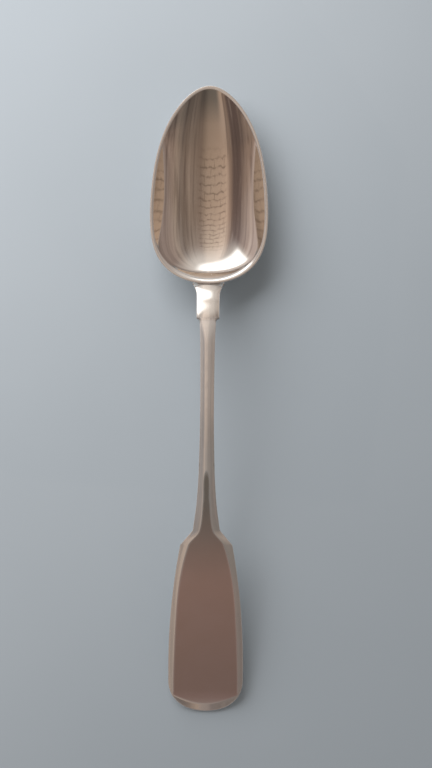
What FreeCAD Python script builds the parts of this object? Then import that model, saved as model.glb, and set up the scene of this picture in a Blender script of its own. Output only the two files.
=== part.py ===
"""Fiddle-pattern table spoon in silver, soldered up on the bench from a raised bowl and a forged stem.

Millimetres.  Y runs along the spoon with the bowl at +Y, X across it and Z up.  The spoon lies face up on
the plane z = 0, with its origin under the middle of its box.
"""
import FreeCAD, Part
import math
import os

V = FreeCAD.Vector

# Overall
overall_length = 220.0

# Bowl, seen from above: an egg whose narrow end is the tip
bowl_length = 71.9
bowl_width = 41.5
bowl_widest_from_heel = 25.5
tip_radius = 7.6
heel_radius = 26.0

# Bowl, seen from the side
tip_rim_drop = 3.4
rim_sag = 0.35
bowl_depth = 10.6
bowl_deepest_from_heel = 30.4
tip_slope = 0.50
heel_slope = 0.95
bowl_fullness = 0.26
bowl_wall = 1.0
rim_width = 1.0
rim_band = 0.55
bowl_margin = 1.5

# Neck, between the bowl's heel and the two small lugs
neck_root_width = 11.0
neck_width = 8.0
neck_fillet_length = 4.8
neck_length = 13.2
neck_recess = 0.55
neck_reach = 4.0
neck_slope = 0.62
neck_tail_slope = 0.28
neck_rise = 8.0
neck_thickness = 3.4
neck_crown_drop = 0.6
neck_edge_rise = 0.9
lug_width = 7.7
lug_thickness = 4.0
lug_notch = 1.1
lug_overhang = 0.2
lug_crown_drop = 0.7
lug_edge_rise = 1.1

# Shank
arch_run = 9.0
arch_width = 4.94
arch_below_crest = 1.3
waist_width = 4.6
waist_from_heel = 44.0
crest_from_heel = 44.0
crest_height = 25.2
crest_thickness = 4.3
crest_edge_rise = 1.3
crown_drop = 1.0
apex_width = 5.34
apex_from_heel = 64.1
apex_height = 22.6
apex_thickness = 3.9
apex_edge_rise = 1.1
shank_widening = 1.2

# Fiddle end
terminal_length = 58.9
terminal_width = 25.8
terminal_widest_from_end = 15.0
terminal_thickness = 1.9
terminal_crown_drop = 1.6
terminal_swell = 2.0
shoulder_width = 17.6
shoulder_rise = 5.0
shoulder_thickness = 2.7
shoulder_crown_drop = 1.3
shoulder_edge_rise = 0.35
flare_width = 9.12
flare_crown_drop = 1.2
flare_edge_rise = 0.6
end_radius = 18.0
end_corner_radius = 11.0
end_corner_limit = 0.9
end_thickness = 1.7
turn_length = 8.0
turn_radius = 45.0
end_bevel_width = 2.7
end_bevel_radius = 12.5
end_bevel_run = 5.5

# How far the rounded upper side would stand above the fiddle end's flat face on the centre line
crown_over_shank = 0.14
crown_over_flare = 0.30
crown_over_shoulder = 0.60
crown_over_terminal = 1.18

# Drop, the tongue on the bowl's back
drop_width = 9.4
drop_length = 16.5
drop_thickness = 0.85
drop_root = 2.2
drop_tongue = 6.1

solder_gap = 0.12

# Places along Y
tip_y = overall_length / 2
end_y = -overall_length / 2
heel_y = tip_y - bowl_length
lug_y = heel_y - neck_length
neck_end_y = heel_y + neck_reach
neck_middle_y = (heel_y + lug_y) / 2
arch_y = lug_y - arch_run
crest_y = heel_y - crest_from_heel
waist_y = heel_y - waist_from_heel
apex_y = heel_y - apex_from_heel
shoulder_y = end_y + terminal_length
flare_y = shoulder_y + shoulder_rise
shank_end_y = (apex_y + flare_y) / 2
widest_y = end_y + terminal_widest_from_end
terminal_middle_y = (shoulder_y + widest_y) / 2
turn_y = end_y + turn_length

# The fiddle end's flat face falls evenly from the V's apex, and turns down a little before the end
turn_fall = turn_length ** 2 / (2 * turn_radius)
face_slope = (apex_height - end_thickness - turn_fall) / (apex_y - end_y)

# Lengths that only have to reach past the spoon
TALL = 60.0
OVERRUN = 6.0
beyond_neck_y = neck_end_y + OVERRUN
beyond_end_y = end_y - OVERRUN

# Fineness of the curves and surfaces that run through computed points
RIM_POINTS = 7
OUTLINE_POINTS = 40
BOWL_GRID = (15, 27)
HANDLE_GRID = (9, 75)


def hump_factor(t, peak_at, peak, start, end):
    """The cubic p(t) that makes t(1 - t)p(t) leave zero at t = 0 with the slope start, turn over at
    peak_at with the height peak, and come back to zero at t = 1 with the slope -end."""
    rest = 1 - peak_at
    level = peak / (peak_at * rest)
    tilt = (2 * peak_at - 1) * level / (peak_at * rest)
    before = (start - level + tilt * peak_at) / peak_at ** 2
    after = (end - level - tilt * rest) / rest ** 2
    bend = after - before
    d = t - peak_at
    return level + tilt * d + (before + bend * peak_at) * d ** 2 + bend * d ** 3


def egg_factor(t, inset):
    """hump_factor of the egg's squared half width, for the egg drawn in by inset all round."""
    length = bowl_length - 2 * inset
    widest_at = 1 - (bowl_widest_from_heel - inset) / length
    return hump_factor(t, widest_at, (bowl_width / 2 - inset) ** 2,
                       2 * (tip_radius - inset) * length, 2 * (heel_radius - inset) * length)


def rim_line(y):
    """Side view of the rim, measured from its height at the heel."""
    u = (y - heel_y) / bowl_length
    return (tip_rim_drop + 4 * rim_sag * (1 - u)) * -u


def bowl_height(x, y, inset, lowered, depth):
    """A dished surface whose edge is the egg drawn in by inset, lying lowered below the rim, with heights
    from the heel's rim.  Across the bowl it is a parabola with a fourth-power share that fades towards
    tip and heel."""
    length = bowl_length - 2 * inset
    t = (tip_y - inset - y) / length
    wide = egg_factor(t, inset)
    deepest_at = 1 - (bowl_deepest_from_heel - inset) / length
    deep = hump_factor(t, deepest_at, depth, tip_slope * length, heel_slope * length)
    share = t * (1 - t)
    fullness = 4 * bowl_fullness * share
    square = (1 - fullness) * deep / wide * x ** 2
    fourth = 4 * bowl_fullness * deep / wide ** 2 * x ** 4
    return rim_line(y) - lowered - share * deep + square + fourth


def inner_height(x, y):
    return bowl_height(x, y, rim_width, 0, bowl_depth)


def outer_height(x, y):
    return bowl_height(x, y, 0, rim_band, bowl_depth + bowl_wall - rim_band)


def heel_rim_height():
    """Height of the rim at the heel when the bowl's back touches the rest plane."""
    return -min(outer_height(0, y) for y in spaced(heel_y, tip_y, 400))


def spaced(low, high, count):
    return [low + (high - low) * i / (count - 1) for i in range(count)]


def patch(height, half_width, low_y, high_y, grid):
    """Smooth face through the heights of an even grid that is centred on the Y axis."""
    columns, rows = grid
    step_x = 2 * half_width / (columns - 1)
    step_y = (high_y - low_y) / (rows - 1)
    heights = [[height(step_x * i - half_width, low_y + step_y * j) for j in range(rows)]
               for i in range(columns)]
    surface = Part.BSplineSurface()
    surface.interpolate(heights, -half_width, step_x, low_y, step_y)
    return surface.toShape()


def bowl_patch(height):
    return patch(height, bowl_width / 2 + bowl_margin, heel_y - bowl_margin, tip_y + bowl_margin, BOWL_GRID)


def side_slab(edges, half_width):
    """Solid with the given outline in the YZ plane, reaching half_width to each side."""
    face = Part.Face(Part.Wire(edges))
    face.translate(V(-half_width, 0, 0))
    return face.extrude(V(2 * half_width, 0, 0))


def polyline(points):
    return [Part.LineSegment(a, b).toShape() for a, b in zip(points, points[1:])]


def egg_prism():
    """Upright prism on the bowl's outline."""
    points = []
    for i in range(OUTLINE_POINTS):
        angle = 2 * math.pi * i / OUTLINE_POINTS
        t = (1 - math.cos(angle)) / 2
        half_width = math.sin(angle) / 2 * math.sqrt(egg_factor(t, 0))
        points.append(V(half_width, tip_y - bowl_length * t, -TALL / 2))
    outline = Part.BSplineCurve()
    outline.interpolate(Points=points, PeriodicFlag=True)
    return Part.Face(Part.Wire(outline.toShape())).extrude(V(0, 0, TALL))


def filled_bowl():
    """The bowl with its hollow filled up to the rim."""
    rim = Part.BSplineCurve()
    rim.interpolate([V(0, y, rim_line(y)) for y in spaced(heel_y - OVERRUN, tip_y + OVERRUN, RIM_POINTS)])
    first, last = rim.StartPoint, rim.EndPoint
    below = V(0, 0, -TALL)
    edges = [rim.toShape()] + polyline([last, last + below, first + below, first])
    under_rim = side_slab(edges, bowl_width)
    above_back = bowl_patch(outer_height).extrude(V(0, 0, TALL))
    return egg_prism().common(under_rim).common(above_back)


def through(stations):
    """Smooth function of y through (y, value) pairs that never swings past its neighbours: cubic spans
    whose slope at each station is the harmonic mean of the slopes to both sides."""
    stations = sorted(stations)
    slopes = [(v1 - v0) / (y1 - y0) for (y0, v0), (y1, v1) in zip(stations, stations[1:])]
    tangents = [slopes[0]]
    for before, after in zip(slopes, slopes[1:]):
        tangents.append(2 * before * after / (before + after) if before * after > 0 else 0)
    tangents.append(slopes[-1])

    def value(y):
        i = max(k for k in range(len(slopes)) if k == 0 or stations[k][0] <= y)
        (y0, v0), (y1, v1) = stations[i], stations[i + 1]
        run = y1 - y0
        s = (y - y0) / run
        bend = s * (1 - s)
        return (v0 + (v1 - v0) * s * s * (3 - 2 * s)
                + run * bend * (tangents[i] * (1 - s) - tangents[i + 1] * s))

    return value


def face_height(y):
    """Height of the flat plane of the fiddle end, which runs up the shank to the V's apex."""
    return end_thickness + turn_fall + face_slope * (y - end_y)


def crown_line(root_crown):
    """Ridge of the rounded upper side.  From the apex to the end it stands above the flat face."""
    above_face = [(apex_y, 0), (shank_end_y, crown_over_shank), (flare_y, crown_over_flare),
                  (shoulder_y, crown_over_shoulder), (widest_y, crown_over_terminal),
                  (beyond_end_y, crown_over_terminal)]
    return through([
        (beyond_neck_y, root_crown - neck_tail_slope * (beyond_neck_y - heel_y)),
        (heel_y, root_crown),
        (neck_middle_y, root_crown + neck_slope * (heel_y - neck_middle_y)),
        (lug_y, root_crown + neck_rise),
        (arch_y, crest_height - arch_below_crest),
        (crest_y, crest_height),
    ] + [(y, face_height(y) + above) for y, above in above_face])


def back_line(root_crown):
    """Underside of the handle on its centre line."""
    return through([
        (beyond_neck_y, root_crown - neck_thickness - neck_tail_slope * (beyond_neck_y - heel_y)),
        (heel_y, root_crown - neck_thickness),
        (lug_y, root_crown + neck_rise - lug_thickness),
        (arch_y, crest_height - arch_below_crest - crest_thickness),
        (crest_y, crest_height - crest_thickness),
        (apex_y, face_height(apex_y) - apex_thickness),
        (shoulder_y, face_height(shoulder_y) - shoulder_thickness),
        (widest_y, face_height(widest_y) - terminal_thickness),
        (end_y, 0),
        (beyond_end_y, -face_slope * OVERRUN),
    ])


def half_width_line():
    """Half width of the handle without its lugs and shoulder corners."""
    return through([
        (beyond_neck_y, neck_width / 2),
        (heel_y, neck_width / 2),
        (lug_y, lug_width / 2 - lug_overhang),
        (arch_y, arch_width / 2),
        (waist_y, waist_width / 2),
        (apex_y, apex_width / 2),
        (shank_end_y, (apex_width + shank_widening) / 2),
        (flare_y, flare_width / 2),
        (shoulder_y, shoulder_width / 2),
        (terminal_middle_y, (terminal_width - terminal_swell) / 2),
        (widest_y, terminal_width / 2),
        (beyond_end_y, terminal_width / 2),
    ])


def rounded(line, edge_change, half_width):
    """Surface that leaves line by edge_change(y) at the half width, as a parabola in x."""
    return lambda x, y: line(y) + edge_change(y) * (x / half_width(y)) ** 2


def handle_patch(height):
    margin = OVERRUN / 2
    return patch(height, terminal_width / 2 + margin, end_y - margin, neck_end_y + margin, HANDLE_GRID)


def circle_arc(centre, radius, first, last):
    """Arc in the XY plane between two angles in degrees, counter-clockwise."""
    return Part.Circle(V(*centre, 0), V(0, 0, 1), radius).toShape(math.radians(first), math.radians(last))


def arc_through(*points):
    return Part.Arc(*[V(x, y, 0) for x, y in points]).toShape()


def line_to(a, b):
    return Part.LineSegment(V(*a, 0), V(*b, 0)).toShape()


def neck_edges():
    """Right-hand outline from the bowl's heel to the foot of the lug."""
    root, side = neck_root_width / 2, neck_width / 2
    spread = root - side
    radius = (neck_fillet_length ** 2 + spread ** 2) / (2 * spread)
    fillet_y = heel_y - neck_fillet_length
    middle_y = heel_y - neck_fillet_length / 2
    middle_x = side + radius - math.sqrt(radius ** 2 - (neck_fillet_length / 2) ** 2)
    lug = lug_width / 2
    deep = lug_notch / math.sqrt(2)
    foot = (lug - lug_notch, lug_y - lug_notch)
    notch_middle = (lug - deep, lug_y - lug_notch + deep)
    return [
        line_to((0, neck_end_y), (root, neck_end_y)),
        line_to((root, neck_end_y), (root, heel_y)),
        arc_through((root, heel_y), (middle_x, middle_y), (side, fillet_y)),
        line_to((side, fillet_y), (lug, lug_y)),
        arc_through((lug, lug_y), notch_middle, foot),
    ], foot


def shank_edge(foot):
    """Right-hand outline from the foot of the lug to the flare."""
    points = [foot, (arch_width / 2, arch_y), (waist_width / 2, waist_y), (apex_width / 2, apex_y),
              ((apex_width + shank_widening) / 2, shank_end_y), (flare_width / 2, flare_y)]
    leaving_lug, leaving_flare = V(-0.3, -1, 0), V(0.8, -1, 0)
    curve = Part.BSplineCurve()
    curve.interpolate(Points=[V(x, y, 0) for x, y in points], InitialTangent=leaving_lug,
                      FinalTangent=leaving_flare)
    return curve.toShape()


def terminal_edges():
    """Right-hand outline from the flare round to the middle of the end."""
    side = terminal_width / 2
    corner = (shoulder_width / 2, shoulder_y)
    long_radius = ((shoulder_y - widest_y) ** 2 + (side - corner[0]) ** 2) / (2 * (side - corner[0]))
    half_run = (shoulder_y - widest_y) / 2
    bulge = long_radius - math.sqrt(long_radius ** 2 - half_run ** 2)
    end_centre_y = end_y + end_radius
    rounding = min(end_corner_radius, end_corner_limit * side)
    across = side - rounding
    along = math.sqrt((end_radius - rounding) ** 2 - across ** 2)
    corner_centre = (across, end_centre_y - along)
    meeting = math.degrees(math.atan2(-along, across))
    return [
        line_to((flare_width / 2, flare_y), corner),
        arc_through(corner, (side - bulge, widest_y + half_run), (side, widest_y)),
        line_to((side, widest_y), (side, corner_centre[1])),
        circle_arc(corner_centre, rounding, meeting, 0),
        circle_arc((0, end_centre_y), end_radius, -90, meeting),
    ]


def handle_prism():
    """Upright prism on the whole handle's outline."""
    neck, foot = neck_edges()
    right = neck + [shank_edge(foot)] + terminal_edges()
    left = [edge.mirror(V(0, 0, 0), V(1, 0, 0)) for edge in right]
    outline = Part.Wire(Part.__sortEdges__(right + left))
    face = Part.Face(outline)
    face.translate(V(0, 0, -TALL / 2))
    return face.extrude(V(0, 0, TALL))


def under_face():
    """Everything under the flat face and under the gentle turn at its end."""
    slope = math.atan(face_slope)
    centre_y = turn_y + turn_radius * math.sin(slope)
    centre_z = face_height(turn_y) - turn_radius * math.cos(slope)

    def turned(angle):
        return V(0, centre_y - turn_radius * math.sin(slope + angle),
                 centre_z + turn_radius * math.cos(slope + angle))

    sweep = (turn_length + OVERRUN) / turn_radius
    start = V(0, tip_y, face_height(tip_y))
    last = turned(sweep)
    below = V(0, 0, -TALL)
    edges = polyline([start, turned(0)])
    edges.append(Part.Arc(turned(0), turned(sweep / 2), last).toShape())
    edges += polyline([last, last + below, start + below, start])
    return side_slab(edges, terminal_width), turned


def end_bevel(turned):
    """What the crescent-shaped bevel at the end takes off: all that lies outside a blunt cone."""
    inner_edge = turned((turn_length - end_bevel_width) / turn_radius)
    slope = math.atan(face_slope) + turn_length / turn_radius
    along = V(0, math.cos(slope), math.sin(slope))
    upward = V(0, -math.sin(slope), math.cos(slope))
    centre = inner_edge + along * end_bevel_radius
    cone_above = end_bevel_radius / end_bevel_run * 2 / 3
    cone_below = end_thickness + end_bevel_width
    cone = Part.makeCone(end_bevel_radius + cone_below * end_bevel_run,
                         end_bevel_radius - cone_above * end_bevel_run,
                         cone_above + cone_below, centre - upward * cone_below, upward)
    reach = end_bevel_width + end_bevel_radius
    block = Part.makeBox(2 * terminal_width, reach + OVERRUN, cone_below, V(-terminal_width, beyond_end_y, 0))
    return block.cut(cone)


def make_handle(root_crown):
    """The forged stem before it is fitted to the bowl."""
    half_width = half_width_line()
    drop_line = through([(beyond_neck_y, neck_crown_drop), (lug_y, lug_crown_drop), (arch_y, crown_drop),
                         (apex_y, crown_drop), (flare_y, flare_crown_drop), (shoulder_y, shoulder_crown_drop),
                         (widest_y, terminal_crown_drop), (beyond_end_y, terminal_crown_drop)])
    rise_line = through([(beyond_neck_y, neck_edge_rise), (lug_y, lug_edge_rise),
                         (crest_y, crest_edge_rise), (apex_y, apex_edge_rise), (flare_y, flare_edge_rise),
                         (shoulder_y, shoulder_edge_rise), (widest_y, 0), (beyond_end_y, 0)])
    top = handle_patch(rounded(crown_line(root_crown), lambda y: -drop_line(y), half_width))
    back = handle_patch(rounded(back_line(root_crown), rise_line, half_width))
    flat, turned = under_face()
    handle = handle_prism().common(top.extrude(V(0, 0, -TALL)))
    handle = handle.common(back.extrude(V(0, 0, TALL)))
    return handle.common(flat).cut(end_bevel(turned))


def drop_prism():
    """Upright prism on the drop's outline: straight sides and a half-elliptical tongue."""
    half = drop_width / 2
    root_y = heel_y + drop_root
    tongue_y = heel_y + drop_length - drop_tongue
    tongue = Part.Ellipse(V(0, tongue_y + drop_tongue, 0), V(half, tongue_y, 0), V(0, tongue_y, 0))
    edges = [tongue.toShape(-math.pi / 2, math.pi / 2),
             line_to((-half, tongue_y), (-half, root_y)),
             line_to((-half, root_y), (half, root_y)),
             line_to((half, root_y), (half, tongue_y))]
    face = Part.Face(Part.Wire(Part.__sortEdges__(edges)))
    face.translate(V(0, 0, -TALL / 2))
    return face.extrude(V(0, 0, TALL))


def swollen(filled, amount):
    """The filled bowl moved down and back, so that its heel and back stand proud by amount."""
    grown = filled.copy()
    grown.translate(V(0, -amount, -amount))
    return grown


def whole_solid(shape):
    """The shape's one solid, or its largest where a boolean leaves crumbs."""
    return max(shape.Solids, key=lambda solid: solid.Volume)


def build():
    heel_height = heel_rim_height()
    filled = filled_bowl()
    filled.translate(V(0, 0, heel_height))
    hollow = bowl_patch(inner_height).extrude(V(0, 0, TALL))
    hollow.translate(V(0, 0, heel_height))
    handle = make_handle(heel_height - neck_recess)
    soldered = swollen(filled, solder_gap)
    drop_skin = swollen(filled, solder_gap + drop_thickness)
    tongue = drop_prism()
    stem = handle.cut(soldered)
    under_bowl = tongue.cut(filled).cut(handle)
    return {
        "bowl": filled.cut(hollow),
        "stem": stem,
        "bowl_seam_solder": handle.common(soldered).cut(filled),
        "heel_drop": under_bowl.common(drop_skin).cut(soldered),
        "drop_solder": under_bowl.common(soldered),
    }


os.makedirs("parts", exist_ok=True)
for name, shape in build().items():
    piece = whole_solid(shape)
    piece.exportStep("parts/" + name + ".step")
    print(name, len(shape.Solids), "solids", round(piece.Volume, 1), "mm3")
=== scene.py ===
"""Fiddle-pattern table spoon in polished silver, face up on a pale floor.

The spoon's sizes are in millimetres, as the design gives them, and every mesh is made in metres.  Y runs
along the spoon with the bowl at +Y, X across it and Z up.
"""
import math

import bmesh
import bpy
import numpy as np
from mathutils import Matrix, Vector


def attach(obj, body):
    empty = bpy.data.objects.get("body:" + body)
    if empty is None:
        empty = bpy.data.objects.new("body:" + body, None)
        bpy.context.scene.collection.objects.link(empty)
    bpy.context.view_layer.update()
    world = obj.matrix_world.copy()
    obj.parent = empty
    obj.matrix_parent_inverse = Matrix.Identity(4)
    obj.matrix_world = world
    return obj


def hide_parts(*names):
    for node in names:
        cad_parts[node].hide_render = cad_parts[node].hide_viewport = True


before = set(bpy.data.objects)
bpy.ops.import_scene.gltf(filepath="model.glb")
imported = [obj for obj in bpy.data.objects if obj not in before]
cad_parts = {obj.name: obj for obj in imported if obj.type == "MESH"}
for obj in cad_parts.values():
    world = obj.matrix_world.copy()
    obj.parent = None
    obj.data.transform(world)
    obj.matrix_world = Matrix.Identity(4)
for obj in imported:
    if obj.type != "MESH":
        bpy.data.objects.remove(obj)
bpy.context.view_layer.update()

MM = 0.001

# Bowl
overall_length = 220.0
bowl_length = 71.9
bowl_width = 41.5
bowl_widest_from_heel = 25.5
tip_radius = 7.6
heel_radius = 26.0
tip_rim_drop = 3.4
rim_sag = 0.35
bowl_depth = 10.6
bowl_deepest_from_heel = 30.4
tip_slope = 0.50
heel_slope = 0.95
bowl_fullness = 0.26
bowl_wall = 1.0
rim_width = 1.0
rim_band = 0.55

# Neck and lugs
neck_root_width = 11.0
neck_width = 8.0
neck_fillet_length = 4.8
neck_length = 13.2
neck_recess = 0.55
neck_reach = 4.0
neck_slope = 0.62
neck_tail_slope = 0.28
neck_rise = 8.0
neck_thickness = 3.4
neck_crown_drop = 0.6
neck_edge_rise = 0.9
lug_width = 7.7
lug_thickness = 4.0
lug_notch = 1.1
lug_overhang = 0.2
lug_crown_drop = 0.7
lug_edge_rise = 1.1

# Shank
arch_run = 9.0
arch_width = 4.94
arch_below_crest = 1.3
waist_width = 4.6
waist_from_heel = 44.0
crest_from_heel = 44.0
crest_height = 25.2
crest_thickness = 4.3
crest_edge_rise = 1.3
crown_drop = 1.0
apex_width = 5.34
apex_from_heel = 64.1
apex_height = 22.6
apex_thickness = 3.9
apex_edge_rise = 1.1
shank_widening = 1.2

# Fiddle end
terminal_length = 58.9
terminal_width = 25.8
terminal_widest_from_end = 15.0
terminal_thickness = 1.9
terminal_crown_drop = 1.6
terminal_swell = 2.0
shoulder_width = 17.6
shoulder_rise = 5.0
shoulder_thickness = 2.7
shoulder_crown_drop = 1.3
shoulder_edge_rise = 0.35
flare_width = 9.12
flare_crown_drop = 1.2
flare_edge_rise = 0.6
end_radius = 18.0
end_corner_radius = 11.0
end_thickness = 1.7
turn_length = 8.0
turn_radius = 45.0
end_bevel_width = 2.7
end_bevel_radius = 12.5
end_bevel_run = 5.5
crown_over_shank = 0.14
crown_over_flare = 0.30
crown_over_shoulder = 0.60
crown_over_terminal = 1.18

# Drop and solder
drop_width = 9.4
drop_length = 16.5
drop_thickness = 0.85
drop_root = 2.2
drop_tongue = 6.1
solder_gap = 0.12

# Softened edges, which the polished metal has everywhere
rim_softness = 0.34
heel_softness = 2.4
heel_roll_length = 16.0
edge_softness = 0.30
corner_softness = 0.22

# Places along Y
tip_y = overall_length / 2
end_y = -overall_length / 2
heel_y = tip_y - bowl_length
lug_y = heel_y - neck_length
neck_end_y = heel_y + neck_reach
neck_middle_y = (heel_y + lug_y) / 2
arch_y = lug_y - arch_run
crest_y = heel_y - crest_from_heel
waist_y = heel_y - waist_from_heel
apex_y = heel_y - apex_from_heel
shoulder_y = end_y + terminal_length
flare_y = shoulder_y + shoulder_rise
shank_end_y = (apex_y + flare_y) / 2
widest_y = end_y + terminal_widest_from_end
terminal_middle_y = (shoulder_y + widest_y) / 2
turn_y = end_y + turn_length
OVERRUN = 6.0
beyond_neck_y = neck_end_y + OVERRUN
beyond_end_y = end_y - OVERRUN

turn_fall = turn_length ** 2 / (2 * turn_radius)
face_slope = (apex_height - end_thickness - turn_fall) / (apex_y - end_y)


# ---------------------------------------------------------------- the spoon's surfaces

def hump_factor(t, peak_at, peak, start, end):
    """The cubic p(t) that makes t(1 - t)p(t) leave zero at t = 0 with the slope start, turn over at
    peak_at with the height peak, and come back to zero at t = 1 with the slope -end."""
    rest = 1 - peak_at
    level = peak / (peak_at * rest)
    tilt = (2 * peak_at - 1) * level / (peak_at * rest)
    before = (start - level + tilt * peak_at) / peak_at ** 2
    after = (end - level - tilt * rest) / rest ** 2
    bend = after - before
    d = t - peak_at
    return level + tilt * d + (before + bend * peak_at) * d ** 2 + bend * d ** 3


def egg_factor(t, inset):
    """hump_factor of the egg's squared half width, for the egg drawn in by inset all round."""
    length = bowl_length - 2 * inset
    widest_at = 1 - (bowl_widest_from_heel - inset) / length
    return hump_factor(t, widest_at, (bowl_width / 2 - inset) ** 2,
                       2 * (tip_radius - inset) * length, 2 * (heel_radius - inset) * length)


def rim_line(y):
    u = (y - heel_y) / bowl_length
    return (tip_rim_drop + 4 * rim_sag * (1 - u)) * -u


def bowl_height(x, y, inset, lowered, depth):
    """A dished surface whose edge is the egg drawn in by inset, lying lowered below the rim, with heights
    from the heel's rim."""
    length = bowl_length - 2 * inset
    t = (tip_y - inset - y) / length
    wide = egg_factor(t, inset)
    deepest_at = 1 - (bowl_deepest_from_heel - inset) / length
    deep = hump_factor(t, deepest_at, depth, tip_slope * length, heel_slope * length)
    share = t * (1 - t)
    fullness = 4 * bowl_fullness * share
    square = (1 - fullness) * deep / wide * x ** 2
    fourth = 4 * bowl_fullness * deep / wide ** 2 * x ** 4
    return rim_line(y) - lowered - share * deep + square + fourth


OUTER_DEPTH = bowl_depth + bowl_wall - rim_band
HEEL_HEIGHT = -min(bowl_height(0, y, 0, rim_band, OUTER_DEPTH) for y in np.linspace(heel_y, tip_y, 400))


def inner_height(x, y):
    return HEEL_HEIGHT + bowl_height(x, y, rim_width, 0, bowl_depth)


def outer_height(x, y):
    return HEEL_HEIGHT + bowl_height(x, y, 0, rim_band, OUTER_DEPTH)


def under_bowl(x, y, grown):
    """Height of the bowl's back moved down and towards the stem by grown, and nothing to cut beside it."""
    t = (tip_y - (y + grown)) / bowl_length
    inside = np.clip(t * (1 - t) * egg_factor(t, 0), 0, None) > x ** 2
    return np.where(inside & (t < 1), outer_height(x, y + grown) - grown, np.inf)


def through(stations):
    """Smooth function of y through (y, value) pairs that never swings past its neighbours."""
    ys, values = (np.array(column, float) for column in zip(*sorted(stations)))
    slopes = np.diff(values) / np.diff(ys)
    product = slopes[:-1] * slopes[1:]
    total = slopes[:-1] + slopes[1:]
    middle = np.where(product > 0, 2 * product / np.where(total == 0, 1, total), 0)
    tangents = np.concatenate([slopes[:1], middle, slopes[-1:]])

    def value(y):
        i = np.clip(np.searchsorted(ys, y, side="right") - 1, 0, len(slopes) - 1)
        run = ys[i + 1] - ys[i]
        s = (y - ys[i]) / run
        ease = s * s * (3 - 2 * s)
        return (values[i] + (values[i + 1] - values[i]) * ease
                + run * s * (1 - s) * (tangents[i] * (1 - s) - tangents[i + 1] * s))

    return value


ROOT_CROWN = HEEL_HEIGHT - neck_recess


def plane_height(y):
    return end_thickness + turn_fall + face_slope * (y - end_y)


crown_line = through([
    (beyond_neck_y, ROOT_CROWN - neck_tail_slope * (beyond_neck_y - heel_y)),
    (heel_y, ROOT_CROWN),
    (neck_middle_y, ROOT_CROWN + neck_slope * (heel_y - neck_middle_y)),
    (lug_y, ROOT_CROWN + neck_rise),
    (arch_y, crest_height - arch_below_crest),
    (crest_y, crest_height),
    (apex_y, plane_height(apex_y)),
    (shank_end_y, plane_height(shank_end_y) + crown_over_shank),
    (flare_y, plane_height(flare_y) + crown_over_flare),
    (shoulder_y, plane_height(shoulder_y) + crown_over_shoulder),
    (widest_y, plane_height(widest_y) + crown_over_terminal),
    (beyond_end_y, plane_height(beyond_end_y) + crown_over_terminal),
])
back_line = through([
    (beyond_neck_y, ROOT_CROWN - neck_thickness - neck_tail_slope * (beyond_neck_y - heel_y)),
    (heel_y, ROOT_CROWN - neck_thickness),
    (lug_y, ROOT_CROWN + neck_rise - lug_thickness),
    (arch_y, crest_height - arch_below_crest - crest_thickness),
    (crest_y, crest_height - crest_thickness),
    (apex_y, plane_height(apex_y) - apex_thickness),
    (shoulder_y, plane_height(shoulder_y) - shoulder_thickness),
    (widest_y, plane_height(widest_y) - terminal_thickness),
    (end_y, 0),
    (beyond_end_y, -face_slope * OVERRUN),
])
half_width_line = through([
    (beyond_neck_y, neck_width / 2),
    (heel_y, neck_width / 2),
    (lug_y, lug_width / 2 - lug_overhang),
    (arch_y, arch_width / 2),
    (waist_y, waist_width / 2),
    (apex_y, apex_width / 2),
    (shank_end_y, (apex_width + shank_widening) / 2),
    (flare_y, flare_width / 2),
    (shoulder_y, shoulder_width / 2),
    (terminal_middle_y, (terminal_width - terminal_swell) / 2),
    (widest_y, terminal_width / 2),
    (beyond_end_y, terminal_width / 2),
])
crown_drop_line = through([
    (beyond_neck_y, neck_crown_drop), (lug_y, lug_crown_drop), (arch_y, crown_drop), (apex_y, crown_drop),
    (flare_y, flare_crown_drop), (shoulder_y, shoulder_crown_drop), (widest_y, terminal_crown_drop),
    (beyond_end_y, terminal_crown_drop),
])
edge_rise_line = through([
    (beyond_neck_y, neck_edge_rise), (lug_y, lug_edge_rise), (crest_y, crest_edge_rise),
    (apex_y, apex_edge_rise), (flare_y, flare_edge_rise), (shoulder_y, shoulder_edge_rise),
    (widest_y, 0), (beyond_end_y, 0),
])


def face_height(y):
    """The fiddle end's flat face, which turns down on an arc near the end."""
    slope = math.atan(face_slope)
    centre_y = turn_y + turn_radius * math.sin(slope)
    centre_z = plane_height(turn_y) - turn_radius * math.cos(slope)
    run = np.clip(centre_y - y, -turn_radius, turn_radius)
    arc = centre_z + np.sqrt(turn_radius ** 2 - run ** 2)
    return np.where(y < turn_y, arc, plane_height(y))


def end_bevel_height(x, y):
    """The blunt cone that takes the crescent off the end."""
    slope = math.atan(face_slope)
    sweep = (turn_length - end_bevel_width) / turn_radius
    inner_y = turn_y - turn_radius * (math.sin(slope + sweep) - math.sin(slope))
    tilt = math.tan(slope + turn_length / turn_radius)
    centre_y = inner_y + end_bevel_radius * math.cos(math.atan(tilt))
    away = np.hypot(x, (y - centre_y) / math.cos(math.atan(tilt)))
    plane = face_height(inner_y) + tilt * (y - inner_y)
    lowered = (away - end_bevel_radius) / end_bevel_run
    return np.where(y < centre_y, plane - lowered * np.sqrt(1 + tilt ** 2), np.inf)


def soft_min(a, b, reach):
    """The lower of two heights, with the crease between them rounded over reach."""
    share = np.clip(1 - np.abs(a - b) / reach, 0, 1)
    return np.minimum(a, b) - share ** 2 * reach / 4


def crown_height(x, y):
    return crown_line(y) - crown_drop_line(y) * (x / half_width_line(y)) ** 2


def back_height(x, y):
    return back_line(y) + edge_rise_line(y) * (x / half_width_line(y)) ** 2


def handle_height(x, y):
    """Upper side of the handle: the crown, cut by the flat face and by the crescent at the end."""
    crease_reach = 0.02
    well_above = 9
    face = face_height(y)
    bevel = end_bevel_height(x, y)
    on_bevel = np.isfinite(bevel)
    cut = soft_min(face, np.where(on_bevel, bevel, face + well_above), crease_reach)
    flat = np.where(on_bevel, cut, face)
    return np.minimum(crown_height(x, y), flat)


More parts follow.
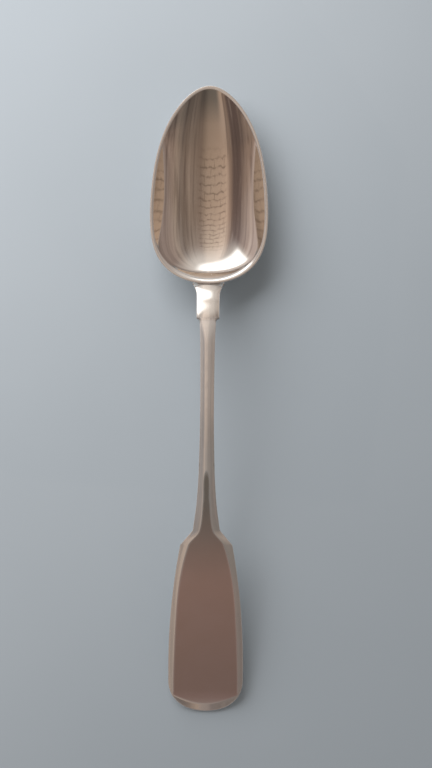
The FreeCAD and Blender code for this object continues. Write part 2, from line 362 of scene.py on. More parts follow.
# ---------------------------------------------------------------- mesh helpers

def make_piece(name, points, faces, wear=None):
    """A mesh object from points in millimetres, its faces turned outwards, with each point's wear."""
    mesh = bpy.data.meshes.new(name)
    mesh.from_pydata([tuple(p) for p in np.asarray(points) * MM], [], faces)
    mesh.validate()
    body = bmesh.new()
    body.from_mesh(mesh)
    bmesh.ops.recalc_face_normals(body, faces=body.faces)
    body.to_mesh(mesh)
    body.free()
    mesh.shade_smooth()
    if wear is not None:
        mesh.attributes.new("wear", "FLOAT", "POINT").data.foreach_set("value", np.asarray(wear, np.float32))
    piece = bpy.data.objects.new(name, mesh)
    bpy.context.scene.collection.objects.link(piece)
    return piece


def strip_faces(first, second, closed):
    """Quads between two rows of vertex numbers."""
    count = len(first)
    last = count if closed else count - 1
    return [(first[i], first[(i + 1) % count], second[(i + 1) % count], second[i]) for i in range(last)]


def rounded_corner(start, corner, finish, steps):
    """Rows that turn from start to finish, pulled towards the corner, without the two end rows."""
    rows = []
    for k in range(1, steps):
        s = k / steps
        rows.append((1 - s) ** 2 * start + 2 * s * (1 - s) * corner + s ** 2 * finish)
    return rows


def ring_solid(name, rings, first_pole, last_pole, wear):
    """Closed skin over rings of equally many points, with a fan to a pole at each end.  There is one wear
    value for each ring."""
    count = len(rings[0])
    points = np.vstack(rings + [first_pole[None], last_pole[None]])
    numbers = [list(range(k * count, (k + 1) * count)) for k in range(len(rings))]
    faces = []
    for a, b in zip(numbers, numbers[1:]):
        faces += strip_faces(a, b, True)
    first, last = len(points) - 2, len(points) - 1
    faces += [(first, numbers[0][(i + 1) % count], numbers[0][i]) for i in range(count)]
    faces += [(last, numbers[-1][i], numbers[-1][(i + 1) % count]) for i in range(count)]
    return make_piece(name, points, faces, np.concatenate([np.repeat(wear, count), [wear[0], wear[-1]]]))


# ---------------------------------------------------------------- bowl

def egg_ring(inset, height, angles):
    """Points round the egg drawn in by inset, at the given height function of x and y."""
    t = (1 - np.cos(angles)) / 2
    x = np.sin(angles) / 2 * np.sqrt(egg_factor(t, inset))
    y = tip_y - inset - (bowl_length - 2 * inset) * t
    return np.column_stack([x, y, height(x, y)])


def shrunk_ring(inset, share, centre_y, height, angles):
    ring = egg_ring(inset, lambda x, y: 0 * x, angles)
    x = ring[:, 0] * share
    y = centre_y + (ring[:, 1] - centre_y) * share
    return np.column_stack([x, y, height(x, y)])


def build_bowl():
    points_round = 288
    inside_rings = 96
    outside_rings = 72
    band_middle_share = 0.55
    inside_wear = 0.04
    rim_wear = 0.7
    outside_wear = 0.14
    angles = np.linspace(0, 2 * math.pi, points_round, endpoint=False)
    centre_y = heel_y + bowl_deepest_from_heel
    rim = lambda x, y: HEEL_HEIGHT + rim_line(y)
    band_foot = lambda x, y: HEEL_HEIGHT + rim_line(y) - rim_band

    def inside(share):
        return shrunk_ring(rim_width, share, centre_y, inner_height, angles)

    def outside(share):
        return shrunk_ring(0, share, centre_y, outer_height, angles)

    from_heel = (egg_ring(0, rim, angles)[:, 1] - heel_y) / heel_roll_length
    roll = rim_softness + (heel_softness - rim_softness) * np.clip(1 - from_heel, 0, 1) ** 2
    edge_away = np.hypot(*(egg_ring(rim_width, rim, angles)[:, :2] - (0, centre_y)).T)
    inner_stop = 1 - roll / edge_away
    outer_stop = 1 - edge_softness / (bowl_width / 2)
    rings = [inside(inner_stop * k / inside_rings) for k in range(1, inside_rings + 1)]
    inner_edge = egg_ring(rim_width, rim, angles)
    crest = egg_ring(rim_width / 2, rim, angles)
    outer_edge = egg_ring(0, rim, angles)
    band_middle = egg_ring(0, lambda x, y: rim(x, y) - rim_band * band_middle_share, angles)
    foot = egg_ring(0, band_foot, angles)
    under = outside(outer_stop)
    # The roll takes more steps where it is wider, and its first ring is still as clean as the inside
    rings += rounded_corner(rings[-1], inner_edge, crest, 10) + [crest]
    rings += rounded_corner(crest, outer_edge, band_middle, 6) + [band_middle]
    rings += rounded_corner(band_middle, foot, under, 4) + [under]
    clean_rings = inside_rings + 1
    worn_rings = len(rings) - clean_rings
    rings += [outside(outer_stop * k / outside_rings) for k in range(outside_rings - 1, 0, -1)]
    wear = np.concatenate([np.full(clean_rings, inside_wear), np.full(worn_rings, rim_wear),
                           np.full(outside_rings - 1, outside_wear)])
    inner_pole = np.array([0, centre_y, inner_height(0, centre_y)])
    outer_pole = np.array([0, centre_y, outer_height(0, centre_y)])
    return ring_solid("bowl_silver_shell", rings, inner_pole, outer_pole, wear)


# ---------------------------------------------------------------- stem

def arc_points(centre, radius, first, last, step=0.05):
    """Points on an arc in plan, between two angles in degrees."""
    count = max(2, int(abs(math.radians(last - first)) * radius / step))
    angles = np.radians(np.linspace(first, last, count))
    return np.column_stack([centre[0] + radius * np.cos(angles), centre[1] + radius * np.sin(angles)])


def line_points(a, b, step=0.05):
    count = max(2, int(math.dist(a, b) / step))
    return np.linspace(a, b, count)


def neck_outline():
    root, side = neck_root_width / 2, neck_width / 2
    spread = root - side
    radius = (neck_fillet_length ** 2 + spread ** 2) / (2 * spread)
    turn = math.degrees(math.asin(neck_fillet_length / radius))
    fillet_y = heel_y - neck_fillet_length
    lug = lug_width / 2
    return [
        line_points((root, neck_end_y), (root, heel_y)),
        arc_points((side + radius, fillet_y), radius, 180 - turn, 180),
        line_points((side, fillet_y), (lug, lug_y)),
        arc_points((lug, lug_y - lug_notch), lug_notch, 90, 180),
    ]


def shank_outline():
    edge = through([
        (lug_y - lug_notch, lug_width / 2 - lug_notch), (arch_y, arch_width / 2), (waist_y, waist_width / 2),
        (apex_y, apex_width / 2), (shank_end_y, (apex_width + shank_widening) / 2),
        (flare_y, flare_width / 2)])
    y = np.arange(lug_y - lug_notch, flare_y, -0.05)
    return [np.column_stack([edge(y), y])]


def terminal_outline():
    side = terminal_width / 2
    corner = (shoulder_width / 2, shoulder_y)
    run = shoulder_y - widest_y
    long_radius = (run ** 2 + (side - corner[0]) ** 2) / (2 * (side - corner[0]))
    turn = math.degrees(math.asin(run / long_radius))
    across = side - end_corner_radius
    along = math.sqrt((end_radius - end_corner_radius) ** 2 - across ** 2)
    corner_centre = (across, end_y + end_radius - along)
    meeting = math.degrees(math.atan2(-along, across))
    return [
        line_points((flare_width / 2, flare_y), corner),
        arc_points((side - long_radius, widest_y), long_radius, turn, 0),
        line_points((side, widest_y), (side, corner_centre[1])),
        arc_points(corner_centre, end_corner_radius, 0, meeting),
        arc_points((0, end_y + end_radius), end_radius, meeting, -90),
    ]


def resampled(points, places):
    """Points at the given distances along a line of points."""
    steps = np.hypot(*np.diff(points, axis=0).T)
    run = np.concatenate([[0], np.cumsum(steps)])
    return np.column_stack([np.interp(places, run, points[:, k]) for k in (0, 1)])


def softened_outline():
    """The right-hand outline from the neck's end round to the middle of the end, with its corners worn."""
    points = np.vstack(neck_outline() + shank_outline() + terminal_outline())
    keep = np.concatenate([[True], np.hypot(*np.diff(points, axis=0).T) > 1e-6])
    points = points[keep]
    length = np.hypot(*np.diff(points, axis=0).T).sum()
    step = 0.05
    even = resampled(points, np.arange(0, length, step))
    reach = int(3 * corner_softness / step)
    weights = np.exp(-0.5 * (np.arange(-reach, reach + 1) * step / corner_softness) ** 2)
    weights /= weights.sum()
    mirrored = even[::-1][:reach] * (-1, 1)
    start = 2 * even[0] - even[1:reach + 1][::-1]
    padded = np.vstack([start, even, mirrored])
    return np.column_stack([np.convolve(padded[:, k], weights, "valid") for k in (0, 1)])


def chosen_places(outline):
    """Indexes along the outline, close together where it turns sharply and wider apart elsewhere."""
    tangent = np.gradient(outline, axis=0)
    angle = np.unwrap(np.arctan2(tangent[:, 1], tangent[:, 0]))
    turning = np.abs(np.gradient(angle)) / 0.05
    density = 1 / 0.42 + np.clip(turning, 0, 3) * 3
    total = np.cumsum(density) * 0.05
    return np.searchsorted(total, np.arange(total[0], total[-1] - 0.4, 1.0))


def build_stem():
    outline = softened_outline()
    tangent = np.gradient(outline, axis=0)
    tangent /= np.hypot(*tangent.T)[:, None]
    outward = np.column_stack([-tangent[:, 1], tangent[:, 0]])
    picked = chosen_places(outline)
    edge, outward = outline[picked], outward[picked]
    softness = edge_softness * np.clip((heel_y + 1 - edge[:, 1]) / 2, 0.1, 1)[:, None]
    inset = edge - softness * outward
    rows = len(edge)

    # The flat face meets the crown along the V, and that line has its own columns
    inner_columns = 14
    outer_columns = 12
    nearest_middle = 0.02
    nearest_edge = 0.985
    parting_share = 0.5
    parting_run = 14
    y = inset[:, 1]
    above = np.clip(crown_line(y) - face_height(y), 0, None)
    crease = half_width_line(y) * np.sqrt(above / crown_drop_line(y))
    parting = np.clip((y - apex_y) / parting_run, 0, 1)
    past_apex = inset[:, 0] * (nearest_middle + parting_share * parting)
    along_face = np.clip(crease, nearest_middle * inset[:, 0], None)
    crease = np.where(y > apex_y, past_apex, along_face)
    crease = np.minimum(crease, inset[:, 0] * nearest_edge)
    share_in = 1 - np.linspace(1, 0, inner_columns + 1)[:-1] ** 2
    share_out = np.linspace(0, 1, outer_columns + 1)
    right = np.concatenate([
        crease[:, None] * share_in,
        crease[:, None] + (inset[:, :1] - crease[:, None]) * share_out], axis=1)
    x_grid = np.concatenate([-right[:, :0:-1], right], axis=1)
    y_grid = np.repeat(y[:, None], x_grid.shape[1], axis=1)

    # Near the bowl the rows bend so that one of them lies where the neck meets the bowl's back
    bend_length = 1.0
    halvings = 40
    columns = x_grid.shape[1]
    low = np.full(columns, heel_y - bend_length)
    high = np.full(columns, neck_end_y)
    x_front = np.linspace(-neck_root_width / 2, neck_root_width / 2, columns)
    for _ in range(halvings):
        middle = (low + high) / 2
        below = crown_height(x_front, middle) < under_bowl(x_front, middle, solder_gap)
        low, high = np.where(below, middle, low), np.where(below, high, middle)
    front_place = low.min()
    for k in range(rows):
        if y[k] > heel_y - bend_length:
            front = np.interp(x_grid[k], x_front, low)
            reach = np.where(y[k] > front_place, (neck_end_y - y[k]) / (neck_end_y - front_place),
                             (y[k] - heel_y + bend_length) / (front_place - heel_y + bend_length))
            y_grid[k] += (front - front_place) * reach

    def top(x, y):
        return np.minimum(handle_height(x, y), under_bowl(x, y, solder_gap))

    upper = np.stack([x_grid, y_grid, top(x_grid, y_grid)], axis=2)
    y_lower = np.repeat(y[:, None], columns, axis=1)
    lower = np.stack([x_grid, y_lower, back_height(x_grid, y[:, None])], axis=2)

    # Once round the rim of both grids: right side, end, left side, neck end
    def loop(grid):
        return np.vstack([grid[:, -1], grid[-1, -2:0:-1], grid[::-1, 0], grid[0, 1:-1]])

    out_right = np.concatenate([outward, np.zeros((rows, 1))], axis=1)
    out_left = out_right[::-1] * (-1, 1, 1)
    end_out = np.tile([0, -1, 0], (columns - 2, 1))
    front_out = np.tile([0, 1, 0], (columns - 2, 1))
    away = np.vstack([out_right, end_out, out_left, front_out])
    soft = np.concatenate([softness[:, 0], np.full(columns - 2, softness[-1, 0]),
                           softness[::-1, 0], np.full(columns - 2, softness[0, 0])])[:, None]
    top_loop, low_loop = loop(upper), loop(lower)
    rim_top, rim_low = top_loop + away * soft, low_loop + away * soft
    rim_top[:, 2] = np.minimum(rim_top[:, 2], top(top_loop[:, 0], top_loop[:, 1]))
    side_top = rim_top - soft * (0, 0, 1)
    side_low = rim_low + soft * (0, 0, 1)
    bands = [top_loop] + rounded_corner(top_loop, rim_top, side_top, 5) + [side_top]
    bands += [(side_top + side_low) / 2, side_low]
    bands += rounded_corner(side_low, rim_low, low_loop, 5)

    # The flat face keeps its polish; the crown, the bevels and every edge are dulled by handling
    worn_over = 0.12
    least_wear = 0.12
    back_wear = 0.35
    edge_wear = 0.8
    face = face_height(y_grid)
    off_face = np.maximum(face - crown_height(x_grid, y_grid), face - end_bevel_height(x_grid, y_grid))
    upper_wear = np.clip(1 + off_face / worn_over, least_wear, 1)
    wear_places = [shoulder_y, shank_end_y, lug_y - lug_notch, lug_y + 1, heel_y - 2.5, heel_y - 0.5]
    wear_levels = [0.78, 1, 1, 0.15, 0.15, 0.9]
    upper_wear *= np.interp(y_grid, wear_places, wear_levels)
    worn_parts = [upper_wear.ravel(), np.full(upper_wear.size, back_wear)]

    grid_count = rows * columns
    upper_numbers = np.arange(grid_count).reshape(rows, columns)
    lower_numbers = upper_numbers + grid_count
    points = [upper.reshape(-1, 3), lower.reshape(-1, 3)]
    faces = []
    for k in range(rows - 1):
        faces += strip_faces(list(upper_numbers[k]), list(upper_numbers[k + 1]), False)
        faces += strip_faces(list(lower_numbers[k + 1]), list(lower_numbers[k]), False)

    def loop_numbers(numbers):
        sides = [numbers[:, -1], numbers[-1, -2:0:-1], numbers[::-1, 0], numbers[0, 1:-1]]
        return list(np.concatenate(sides))

    previous = loop_numbers(upper_numbers)
    start = 2 * grid_count
    for band in bands[1:]:
        numbers = list(range(start, start + len(band)))
        points.append(band)
        worn_parts.append(np.full(len(band), edge_wear))
        faces += strip_faces(previous, numbers, True)
        previous = numbers
        start += len(band)
    faces += strip_faces(previous, loop_numbers(lower_numbers), True)
    return make_piece("stem_silver_forging", np.vstack(points), faces, np.concatenate(worn_parts))


# ---------------------------------------------------------------- drop

def build_drop():
    """The tongue under the heel, with worn edges."""
    half = drop_width / 2
    root_y = heel_y + drop_root
    tongue_y = heel_y + drop_length - drop_tongue
    around = np.radians(np.linspace(0, 180, 73))
    tongue = np.column_stack([half * np.cos(around), tongue_y + drop_tongue * np.sin(around)])
    left = np.linspace((-half, tongue_y), (-half, root_y), 25)[1:]
    root = np.linspace((-half, root_y), (half, root_y), 25)[1:]
    right = np.linspace((half, root_y), (half, tongue_y), 25)[1:-1]
    outline = np.vstack([tongue, left, root, right])
    centre = np.array([0, (root_y + tongue_y + drop_tongue) / 2])

    def top(x, y):
        on_bowl = under_bowl(x, y, solder_gap)
        under_stem = np.where(y < neck_end_y, back_height(x, y), np.inf)
        return np.minimum(on_bowl, under_stem)

    def bottom(x, y):
        return np.minimum(under_bowl(x, y, solder_gap + drop_thickness), top(x, y) - 0.02)

    def ring(share, height):
        x, y = (centre + (outline - centre) * share).T
        return np.column_stack([x, y, height(x, y)])

    worn = 0.55
    stop = 1 - worn / half
    rings = [ring(stop * k / 20, bottom) for k in range(1, 21)]
    edge = ring(1, bottom)
    seat = ring(1, top)
    wall = edge * 0.35 + seat * 0.65
    rings += rounded_corner(rings[-1], edge, wall, 6) + [wall, seat]
    rings += [ring(k / 12, top) for k in range(11, 0, -1)]
    poles = [np.array([*centre, height(*centre)]) for height in (bottom, top)]
    wear = np.interp(np.arange(len(rings)), [0, 17, 20, 27, len(rings)], [0.3, 0.3, 0.9, 0.9, 0.3])
    return ring_solid("heel_drop_silver_tongue", rings, poles[0], poles[1], wear)


# ---------------------------------------------------------------- materials

class Nodes:
    """Short calls for the few kinds of node that the materials and the surroundings use."""

    def __init__(self, tree):
        self.tree = tree

    def add(self, kind, **settings):
        node = self.tree.nodes.new(kind)
        for key, value in settings.items():
            setattr(node, key, value)
        return node

    def link(self, source, target):
        if isinstance(source, (int, float)):
            target.default_value = source
        else:
            self.tree.links.new(source, target)

    def math(self, operation, a, b=0.0, clamp=False):
        node = self.add("ShaderNodeMath", operation=operation, use_clamp=clamp)
        self.link(a, node.inputs[0])
        self.link(b, node.inputs[1])
        return node.outputs[0]

    def fade(self, value, low, high, to_low=0.0, to_high=1.0, smooth=True):
        kind = "SMOOTHSTEP" if smooth else "LINEAR"
        node = self.add("ShaderNodeMapRange", interpolation_type=kind)
        self.link(value, node.inputs["Value"])
        limits = {"From Min": low, "From Max": high, "To Min": to_low, "To Max": to_high}
        for key, number in limits.items():
            node.inputs[key].default_value = number
        return node.outputs[0]

    def mix(self, share, a, b, blend="MIX"):
        node = self.add("ShaderNodeMix", data_type="RGBA", blend_type=blend)
        self.link(share, node.inputs[0])
        for socket, colour in ((node.inputs[6], a), (node.inputs[7], b)):
            if isinstance(colour, tuple):
                socket.default_value = (*colour, 1)
            else:
                self.tree.links.new(colour, socket)
        return node.outputs[2]

    def ramp(self, value, stops):
        node = self.add("ShaderNodeValToRGB")
        self.link(value, node.inputs[0])
        elements = node.color_ramp.elements
        while len(elements) < len(stops):
            elements.new(0.5)
        for element, (place, colour) in zip(elements, stops):
            element.position = place
            element.color = (*colour, 1)
        return node.outputs[0]

    def noise(self, vector, scale, detail=2.0, roughness=0.5):
        node = self.add("ShaderNodeTexNoise")
        self.tree.links.new(vector, node.inputs["Vector"])
        node.inputs["Scale"].default_value = scale
        node.inputs["Detail"].default_value = detail
        node.inputs["Roughness"].default_value = roughness
        return node.outputs["Fac"]

    def stretched(self, vector, scale, turn=0.0):
        node = self.add("ShaderNodeMapping")
        self.tree.links.new(vector, node.inputs["Vector"])
        node.inputs["Scale"].default_value = scale
        node.inputs["Rotation"].default_value = (0, 0, turn)
        return node.outputs[0]


def screen(red, green, blue):
    """Linear light for a colour given as screen values from 0 to 255."""
    return tuple((c / 255 / 12.92) if c <= 10 else ((c / 255 + 0.055) / 1.055) ** 2.4
                 for c in (red, green, blue))


def new_material(name):
    material = bpy.data.materials.new(name)
    material.use_nodes = True
    nodes = Nodes(material.node_tree)
    shader = material.node_tree.nodes["Principled BSDF"]
    return material, nodes, shader


def silver_material(name, clean, warm, polish, scratch_turns, dulling, corner=None):
    """Old polished silver: warm in patches, finely scratched by years of wiping.

    It is partly matt where it is handled: dulling is how far Metallic falls where wear is 1.
    """
    material, n, shader = new_material(name)
    where = n.add("ShaderNodeTexCoord").outputs["Object"]
    cloud = n.noise(where, 55, 4, 0.55)
    haze = n.noise(where, 260, 5, 0.6)
    tone = n.mix(n.fade(cloud, 0.35, 0.68), clean, warm)

    fine = None
    for turn, reach in scratch_turns:
        lines = n.noise(n.stretched(where, (5200, 240, 240), turn), 1.0, 3, 0.65)
        hair = n.fade(lines, 0.60, 0.74, 0, reach)
        fine = hair if fine is None else n.math("MAXIMUM", fine, hair)
    nicks = n.noise(n.stretched(where, (900, 2600, 900), 0.3), 1.0, 2, 0.5)
    nick = n.fade(nicks, 0.735, 0.78)
    tone = n.mix(n.math("MULTIPLY", fine, 0.12), tone, (0.80, 0.76, 0.71))
    # The colour goes darker in patches round each lug's notch
    if corner:
        flat = n.add("ShaderNodeVectorMath", operation="ABSOLUTE")
        n.link(where, flat.inputs[0])
        plan = n.add("ShaderNodeVectorMath", operation="MULTIPLY")
        n.link(flat.outputs[0], plan.inputs[0])
        plan.inputs[1].default_value = (1, 1, 0)
        away = n.add("ShaderNodeVectorMath", operation="DISTANCE")
        n.link(plan.outputs[0], away.inputs[0])
        away.inputs[1].default_value = (corner[0] * MM, corner[1] * MM, 0)
        near = n.fade(away.outputs["Value"], 0.0003, 0.0016, 1.0, 0.0)
        notch_darkening = n.math("MULTIPLY", near, n.fade(haze, 0.3, 0.5))
        tone = n.mix(n.math("MULTIPLY", notch_darkening, 0.85), tone, (0.20, 0.17, 0.15))
    n.link(tone, shader.inputs["Base Color"])

    rough = n.fade(haze, 0.3, 0.75, polish, polish + 0.035)
    rough = n.math("ADD", rough, n.math("MULTIPLY", fine, 0.05))
    rough = n.math("ADD", rough, n.math("MULTIPLY", nick, 0.15), clamp=True)
    n.link(rough, shader.inputs["Roughness"])

    waves = n.noise(where, 95, 1, 0.4)
    height = n.math("ADD", n.math("MULTIPLY", waves, 0.35), n.math("MULTIPLY", fine, -0.010))
    height = n.math("ADD", height, n.math("MULTIPLY", nick, -0.06))
    bump = n.add("ShaderNodeBump")
    bump.inputs["Strength"].default_value = 0.6
    bump.inputs["Distance"].default_value = 0.00008
    n.link(height, bump.inputs["Height"])
    n.link(bump.outputs[0], shader.inputs["Normal"])
    worn = n.add("ShaderNodeAttribute", attribute_name="wear").outputs["Fac"]
    rubbed = n.math("MULTIPLY", worn, n.fade(cloud, 0.30, 0.70, 0.75, 1.0))
    n.link(n.math("SUBTRACT", 1.0, n.math("MULTIPLY", rubbed, dulling)), shader.inputs["Metallic"])
    return material


def solder_material():
    """Silver solder, greyer and duller than the sheet it joins."""
    material, n, shader = new_material("solder_seam")
    where = n.add("ShaderNodeTexCoord").outputs["Object"]
    grain = n.noise(where, 900, 4, 0.6)
    tone = n.mix(n.fade(grain, 0.35, 0.7), (0.62, 0.60, 0.57), (0.80, 0.77, 0.72))
    n.link(tone, shader.inputs["Base Color"])
    n.link(n.fade(grain, 0.3, 0.7, 0.22, 0.38), shader.inputs["Roughness"])
    bump = n.add("ShaderNodeBump")
    bump.inputs["Strength"].default_value = 0.4
    bump.inputs["Distance"].default_value = 0.00003
    n.link(grain, bump.inputs["Height"])
    n.link(bump.outputs[0], shader.inputs["Normal"])
    shader.inputs["Metallic"].default_value = 1.0
    return material


def floor_material():
    """A pale matt floor with painted shade: its colour gets a little darker towards +X and -Y, standing in
    for the lamp's falloff.
    """
    material, n, shader = new_material("pale_floor_painted_falloff")
    where = n.add("ShaderNodeTexCoord").outputs["Object"]
    cloud = n.noise(where, 9, 3, 0.5)
    tone = n.mix(n.fade(cloud, 0.3, 0.7), (0.57, 0.625, 0.665), (0.595, 0.65, 0.69))
    # Painted shade: the colour darkens towards +X and -Y, as the lamp's falloff would darken it
    parts = n.add("ShaderNodeSeparateXYZ")
    n.link(where, parts.inputs[0])
    corner = n.math("SUBTRACT", parts.outputs[0], n.math("MULTIPLY", parts.outputs[1], 0.8))
    tone = n.mix(n.fade(corner, -0.16, 0.16, 0.0, 0.55), tone, (0.43, 0.485, 0.53))
    n.link(tone, shader.inputs["Base Color"])
    shader.inputs["Roughness"].default_value = 0.85
    shader.inputs["Specular IOR Level"].default_value = 0.2
    return material


# ---------------------------------------------------------------- surroundings

def build_world():
    """A warm room for the silver to mirror: a boarded ceiling between a dark wall and a light one, a window
    low behind the bowl, and a darker end beyond the handle.

    The room is modelled on the photographed one.  The colours in across follow averages, by angle, that were
    measured on the reflections in the photograph's bowl, and were then adjusted.  Matt things get a
    plain, slightly warm light instead, and the camera sees a plain grey backdrop.
    """
    world = bpy.data.worlds.new("warm_room")
    bpy.context.scene.world = world
    world.use_nodes = True
    n = Nodes(world.node_tree)
    background = world.node_tree.nodes["Background"]
    towards = n.add("ShaderNodeTexCoord").outputs["Generated"]
    parts = n.add("ShaderNodeSeparateXYZ")
    n.link(towards, parts.inputs[0])
    x, y, z = parts.outputs
    lean = n.math("MULTIPLY", n.math("ARCTAN2", x, z), 180 / math.pi)
    pitch = n.math("MULTIPLY", n.math("ARCTAN2", y, z), 180 / math.pi)
    azimuth = n.math("MULTIPLY", n.math("ARCTAN2", x, y), 180 / math.pi)
    elevation = n.math("MULTIPLY", n.math("ARCSINE", z), 180 / math.pi)

    # Across the room, from the left-hand floor over the ceiling to the right-hand floor
    across = [
        (-100, (128, 110, 100)), (-78, (125, 105, 92)), (-66, (113, 95, 84)), (-57, (84, 68, 61)),
        (-44, (84, 68, 61)), (-37, (122, 101, 87)), (-30, (160, 137, 119)), (-15, (150, 129, 112)),
        (-6, (146, 126, 109)), (2, (142, 122, 106)), (8, (128, 110, 95)), (14, (112, 95, 83)),
        (24, (115, 99, 87)), (36, (122, 106, 94)), (45, (106, 91, 80)), (52, (110, 96, 86)),
        (62, (136, 119, 105)), (70, (128, 110, 98)), (80, (117, 100, 90)), (100, (124, 108, 99)),
    ]
    low, high = across[0][0], across[-1][0]
    room = n.ramp(n.fade(lean, low, high, smooth=False),
                  [((degrees - low) / (high - low), screen(*colour)) for degrees, colour in across])
    plan = n.add("ShaderNodeCombineXYZ")
    n.link(lean, plan.inputs[0])
    n.link(pitch, plan.inputs[1])
    plan = plan.outputs[0]
    streaks = n.noise(n.stretched(plan, (0.24, 0.016, 1)), 1.0, 3, 0.6)
    off_ceiling = n.math("MAXIMUM", n.fade(lean, -24, -34), n.fade(lean, 14, 30))
    dark_streak = n.math("MULTIPLY", n.fade(streaks, 0.36, 0.52, 0.50, 0.0), off_ceiling)
    room = n.mix(dark_streak, room, screen(72, 58, 52))
    light_streak = n.math("MULTIPLY", n.fade(streaks, 0.58, 0.68, 0.0, 0.28), off_ceiling)
    room = n.mix(light_streak, room, screen(158, 140, 126))

    wobble = n.noise(towards, 7, 3, 0.5)
    boards = n.add("ShaderNodeTexBrick", offset=0.37)
    shifted = n.add("ShaderNodeCombineXYZ")
    n.link(n.math("ADD", lean, n.math("MULTIPLY", wobble, 5)), shifted.inputs[0])
    n.link(n.math("ADD", pitch, n.math("MULTIPLY", wobble, 5)), shifted.inputs[1])
    n.link(shifted.outputs[0], boards.inputs["Vector"])
    board_sizes = {"Scale": 1.0, "Mortar Size": 0.42, "Mortar Smooth": 0.35,
                   "Brick Width": 17.0, "Row Height": 4.1}
    for key, number in board_sizes.items():
        boards.inputs[key].default_value = number
    line = boards.outputs["Fac"]
    patchy = n.fade(n.noise(towards, 13, 2, 0.5), 0.33, 0.55, 0.25, 1.0)
    on_ceiling = n.math("MULTIPLY", n.fade(lean, -34, -24), n.fade(lean, 14, 22, 1.0, 0.0))
    on_ceiling = n.math("MULTIPLY", on_ceiling, n.fade(pitch, -12, 2))
    on_ceiling = n.math("MULTIPLY", on_ceiling, n.fade(pitch, 52, 66, 1.0, 0.0))
    line = n.math("MULTIPLY", n.math("MULTIPLY", line, on_ceiling), patchy)
    room = n.mix(n.math("MULTIPLY", line, 0.78), room, screen(84, 68, 58))

    # Along the room, as a multiple of the colours above: dark beyond the handle, light towards the window
    most = 3.0
    along = [
        (-100, (0.90, 0.95, 1.10)), (-62, (0.90, 0.98, 1.20)), (-50, (0.66, 0.60, 0.72)),
        (-42, (0.56, 0.50, 0.57)), (-36, (0.74, 0.64, 0.72)), (-31, (0.34, 0.42, 0.50)),
        (-25, (0.48, 0.54, 0.60)), (-17, (0.95, 0.95, 0.97)), (0, (1.20, 1.19, 1.19)),
        (15, (1.30, 1.30, 1.31)), (30, (1.48, 1.50, 1.54)), (45, (1.76, 1.90, 2.06)),
        (60, (2.1, 2.35, 2.65)), (80, (2.3, 2.6, 3.0)), (100, (1.9, 2.1, 2.3)),
    ]
    low, high = along[0][0], along[-1][0]
    gain = n.ramp(n.fade(pitch, low, high, smooth=False),
                  [((degrees - low) / (high - low), tuple(c / most for c in share))
                   for degrees, share in along])
    gain = n.mix(1.0, gain, (most, most, most), "MULTIPLY")
    side = n.math("MULTIPLY", n.fade(lean, -28, -16, 1.0, 0.0), n.fade(pitch, -14, -4, 1.0, 0.0))
    gain = n.mix(side, gain, (1.05, 1.07, 1.10))
    other_side = n.math("MULTIPLY", n.fade(lean, 14, 30), n.fade(pitch, -14, -4, 0.55, 0.0))
    gain = n.mix(other_side, gain, (0.92, 0.94, 0.97))
    dull = n.math("MULTIPLY", n.fade(lean, 5, 35), n.fade(pitch, 10, 30))
    gain = n.mix(n.math("MULTIPLY", dull, 0.62), gain, (1.0, 1.0, 1.0))
    room = n.mix(1.0, room, gain, "MULTIPLY")

    across_window = n.math("MULTIPLY", n.fade(azimuth, -40, -32), n.fade(azimuth, 0, 12, 1.0, 0.0))
    below_top = n.math("ADD", elevation, n.math("MULTIPLY", azimuth, 0.18))
    pane = n.math("MULTIPLY", n.fade(elevation, 2.0, 4.5), n.fade(below_top, 8.5, 17.0, 1.0, 0.0))
    glow = n.math("MULTIPLY", n.fade(elevation, -1, 3), n.fade(elevation, 12, 38, 1.0, 0.0))
    glow_sides = n.math("MULTIPLY", n.fade(azimuth, -46, -32), n.fade(azimuth, 6, 32, 1.0, 0.0))
    glow = n.math("MULTIPLY", glow, glow_sides)
    room = n.mix(n.math("MULTIPLY", glow, 0.60), room, (0.92, 0.86, 0.80))
    room = n.mix(n.math("MULTIPLY", across_window, pane), room, (1.9, 1.9, 1.88))

    path = n.add("ShaderNodeLightPath")
    matt = n.mix(path.outputs["Is Diffuse Ray"], room, (0.235, 0.226, 0.218))
    shown = n.mix(path.outputs["Is Camera Ray"], matt, screen(186, 190, 193))
    n.link(shown, background.inputs["Color"])


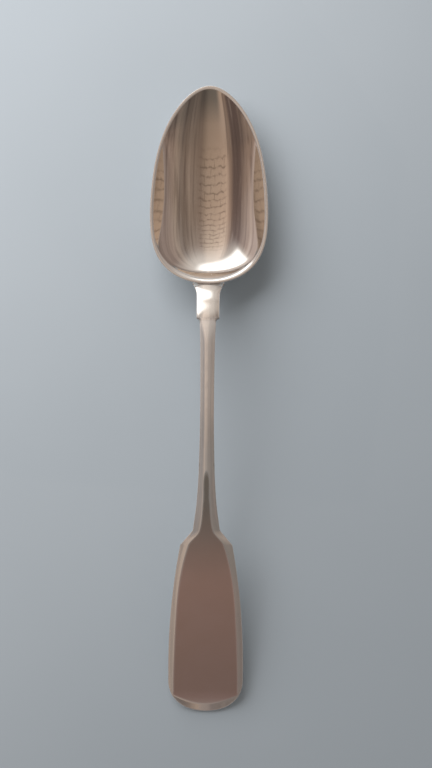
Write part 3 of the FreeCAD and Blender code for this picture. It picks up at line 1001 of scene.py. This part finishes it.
def add_area_light(name, centre, target, width, height, power, colour):
    """A soft lamp, hidden from reflections: the silver mirrors the room's own window instead."""
    light = bpy.data.lights.new(name, "AREA")
    light.shape = "RECTANGLE"
    light.size, light.size_y = width, height
    light.energy = power
    light.color = colour
    lamp = bpy.data.objects.new(name, light)
    lamp.location = centre
    lamp.visible_glossy = False
    lamp.rotation_euler = (Vector(target) - Vector(centre)).to_track_quat("-Z", "Y").to_euler()
    bpy.context.scene.collection.objects.link(lamp)
    return lamp


def add_camera():
    """Straight above the shank, leaning four degrees towards the bowl."""
    data = bpy.data.cameras.new("camera")
    data.lens = 40
    data.sensor_width = 36
    camera = bpy.data.objects.new("camera", data)
    camera.location = (0.00303, -0.01712, 0.30551)
    camera.rotation_euler = (math.radians(4.0), 0, math.radians(0.42))
    bpy.context.scene.collection.objects.link(camera)
    bpy.context.scene.camera = camera


def add_floor():
    size = 3.0
    points = [(-size, -size, 0), (size, -size, 0), (size, size, 0), (-size, size, 0)]
    floor = make_piece("floor", np.array(points) / MM, [(0, 1, 2, 3)])
    floor.data.materials.append(floor_material())


def stand_in(piece, node, material):
    piece.data.materials.append(material)
    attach(piece, "root")
    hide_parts(node)


bowl_silver = silver_material(
    "bowl_silver_polish", clean=(0.95, 0.93, 0.90), warm=(0.93, 0.89, 0.84), polish=0.035,
    scratch_turns=[(0.15, 0.8), (1.25, 0.6), (-0.7, 0.6)], dulling=0.42)
stem_silver = silver_material(
    "stem_silver_polish", clean=(0.95, 0.93, 0.90), warm=(0.92, 0.88, 0.83), polish=0.05,
    scratch_turns=[(0.10, 0.9), (1.45, 0.6)], dulling=0.37, corner=(lug_width / 2 - 0.3, lug_y - 0.7))
stand_in(build_bowl(), "bowl", bowl_silver)
stand_in(build_stem(), "stem", stem_silver)
stand_in(build_drop(), "heel_drop", stem_silver)
solder = solder_material()
for node in ("bowl_seam_solder", "drop_solder"):
    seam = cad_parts[node]
    for slot in seam.material_slots:
        slot.material = solder

add_floor()
add_camera()
build_world()
add_area_light("daylight", centre=(-0.25, 0.33, 0.33), target=(0, 0.03, 0), width=0.62, height=0.46,
               power=2.75, colour=(0.99, 0.985, 1.0))
bpy.context.scene.view_settings.view_transform = "Standard"
